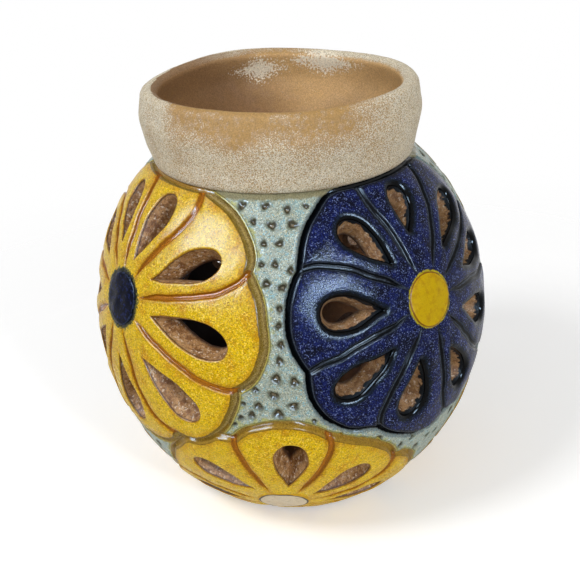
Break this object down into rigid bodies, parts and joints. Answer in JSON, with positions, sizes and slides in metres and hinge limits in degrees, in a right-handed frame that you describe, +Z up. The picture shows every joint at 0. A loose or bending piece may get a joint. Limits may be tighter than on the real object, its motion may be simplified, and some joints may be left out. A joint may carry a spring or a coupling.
{
  "type": "pottery vase",
  "caption": "Round-bodied pottery vase with a plain slipped collar and carved, glazed flowers whose petals are cut through as tear-shaped windows.",
  "frame": {"origin": "centre of the foot's underside, on the surface that the vase stands on", "axes": "+Z up along the axis of the body, towards the mouth; -Y is the front, where a lower flower is centred; +X is to the right seen from the front"},
  "size_m": [0.1591, 0.1585, 0.1726],
  "materials": {
    "raw_clay": "unglazed biscuit-fired clay, matt and slightly gritty",
    "slipped_clay": "unglazed clay with off-white slip brushed on dry, so that the clay shows through in grains",
    "turquoise_glaze": "thin mottled pale turquoise glaze with small dark pits in rows",
    "yellow_glaze": "satin-gloss yellow glaze, amber and brown where it pools in the grooves",
    "cobalt_glaze": "gloss cobalt glaze with light speckle, nearly black in the grooves",
    "navy_glaze": "gloss dark blue glaze with a black-green edge",
    "cream_glaze": "satin off-white glaze with a dark outline"
  },
  "bodies": {
    "root": {"floor_disc": "raw_clay", "vessel_wall": "turquoise_glaze", "neck_collar": "slipped_clay", "flower_upper_front_left": "yellow_glaze", "flower_upper_front_right": "cobalt_glaze", "flower_upper_back_right": "yellow_glaze", "flower_upper_back_left": "cobalt_glaze", "flower_lower_front": "yellow_glaze", "flower_lower_right": "yellow_glaze", "flower_lower_back": "yellow_glaze", "flower_lower_left": "yellow_glaze", "button_upper_front_left": "navy_glaze", "button_upper_front_right": "yellow_glaze", "button_upper_back_right": "navy_glaze", "button_upper_back_left": "yellow_glaze", "button_lower_front": "cream_glaze", "button_lower_right": "cream_glaze", "button_lower_back": "cream_glaze", "button_lower_left": "cream_glaze"}
  },
  "joints": []
}
